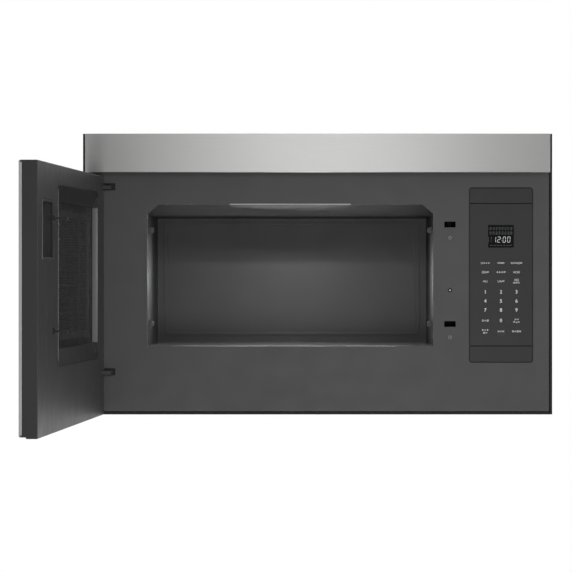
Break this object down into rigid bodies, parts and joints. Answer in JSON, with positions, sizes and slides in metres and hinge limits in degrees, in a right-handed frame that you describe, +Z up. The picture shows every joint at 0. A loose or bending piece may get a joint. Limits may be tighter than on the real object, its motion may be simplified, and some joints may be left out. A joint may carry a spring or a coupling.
{
  "type": "over-the-range microwave",
  "caption": "Over-the-range microwave with hood: steel trim strip, full-width hinged door shown open, oven cavity, keypad panel, vent blowers and grease filters.",
  "frame": {"origin": "middle of the back panel's outer face, where the oven meets the wall", "axes": "+X to the right seen from the front, +Y out of the back into the wall, +Z up"},
  "size_m": [0.7895, 1.1407, 0.4705],
  "materials": {
    "steel": "brushed along its length",
    "enamel": "satin dark grey enamel",
    "cavity_enamel": "semi-gloss dark grey enamel",
    "door_enamel": "semi-gloss dark grey enamel",
    "ceramic": "smooth dark ceramic plate",
    "support": "moulded rack support",
    "case_black": "black powder coat",
    "galvanised": "galvanised sheet steel",
    "zinc": "zinc-plated steel",
    "plug": "moulded hole plug",
    "aluminium": "mill finish",
    "filter_mesh": "layers of expanded mesh in a frame",
    "black_plastic": "fine moulded texture",
    "gloss_black": "gloss black",
    "plastic": "moulded natural plastic",
    "panel": "satin printed membrane",
    "black_glass": "black glass",
    "film": "clear smoked film",
    "screen": "perforated sheet, painted",
    "board": "printed circuit board",
    "transformer": "varnished laminations and copper",
    "carbon": "charcoal granules in a mesh",
    "diffuser": "frosted lens"
  },
  "bodies": {
    "cabinet": {"front_plate": "enamel", "cavity_liner": "cavity_enamel", "cavity_floor_plate": "ceramic", "rack_support_left_upper": "support", "rack_support_left_lower": "support", "rack_support_right_upper": "support", "rack_support_right_lower": "support", "cavity_lamp": "plastic", "outer_case": "case_black", "back_panel": "galvanised", "base_panel": "case_black", "component_shelf": "galvanised", "cord_gland": "black_plastic", "top_trim_strip": "steel", "vent_grille": "black_plastic", "charcoal_filter": "carbon", "hinge_arm_lower": "case_black", "hinge_arm_upper": "case_black", "latch_bracket": "plastic", "primary_switch": "black_plastic", "secondary_switch": "black_plastic", "latch_plug_upper": "plug", "latch_plug_lower": "plug", "latch_screw": "zinc", "control_panel": "panel", "display_glass": "black_glass", "panel_carrier": "black_plastic", "control_board": "board", "waveguide": "aluminium", "antenna_motor": "galvanised", "magnetron": "aluminium", "high_voltage_transformer": "transformer", "high_voltage_capacitor": "aluminium", "cooling_fan_housing": "black_plastic", "cooling_fan_motor": "galvanised", "vent_motor": "galvanised", "blower_housing_left": "galvanised", "blower_housing_right": "galvanised", "exhaust_adaptor": "galvanised", "cooktop_lamp_lens_left": "diffuser", "cooktop_lamp_lens_right": "diffuser", "cooktop_lamp_left": "plastic", "cooktop_lamp_right": "plastic"},
    "door": {"door_skin": "steel", "door_glass": "black_glass", "door_inner_panel": "door_enamel", "window_tub": "gloss_black", "window_screen": "screen", "window_film": "film", "display_bezel": "black_plastic", "display_lens": "black_glass"},
    "latch": {"latch_bar": "black_plastic"},
    "interlock": {"interlock_lever": "black_plastic"},
    "filter_left": {"grease_filter_left": "filter_mesh"},
    "filter_right": {"grease_filter_right": "filter_mesh"},
    "blower": {"blower_wheel_left": "black_plastic", "blower_wheel_right": "black_plastic"},
    "cooling_fan": {"cooling_fan_wheel": "plastic"},
    "stirrer": {"antenna": "aluminium"},
    "damper": {"exhaust_damper": "aluminium"}
  },
  "joints": [
    {"name": "door_swing", "type": "hinge", "parent": "cabinet", "child": "door", "pos_m": [-0.359, -0.408, -0.037], "axis": [0, 0, 1], "range_deg": [-10, 93.1]},
    {"name": "latch_lift", "type": "slide", "parent": "door", "child": "latch", "axis": [0, 0, 1], "range_m": [0, 0.0025], "stiffness_N_per_m": 300, "springref_m": -0.003},
    {"name": "interlock_press", "type": "hinge", "parent": "cabinet", "child": "interlock", "pos_m": [0.2141, -0.3695, 0.0438], "axis": [-1, 0, 0], "range_deg": [0, 3.5], "stiffness_Nm_per_rad": 0.05, "springref_deg": -5.73},
    {"name": "filter_left_slide", "type": "slide", "parent": "cabinet", "child": "filter_left", "axis": [0, 1, 0], "range_m": [0, 0.008]},
    {"name": "filter_right_slide", "type": "slide", "parent": "cabinet", "child": "filter_right", "axis": [0, 1, 0], "range_m": [0, 0.008]},
    {"name": "blower_spin", "type": "hinge", "parent": "cabinet", "child": "blower", "pos_m": [0, -0.06, 0.1695], "axis": [1, 0, 0], "continuous": true},
    {"name": "cooling_fan_spin", "type": "hinge", "parent": "cabinet", "child": "cooling_fan", "pos_m": [0.3, -0.03, -0.025], "axis": [0, 1, 0], "continuous": true},
    {"name": "stirrer_spin", "type": "hinge", "parent": "cabinet", "child": "stirrer", "pos_m": [-0.0442, -0.235, -0.128], "axis": [0, 0, 1], "continuous": true},
    {"name": "damper_swing", "type": "hinge", "parent": "cabinet", "child": "damper", "pos_m": [0, -0.0223, 0.2332], "axis": [-1, 0, 0], "range_deg": [0, 70]}
  ]
}
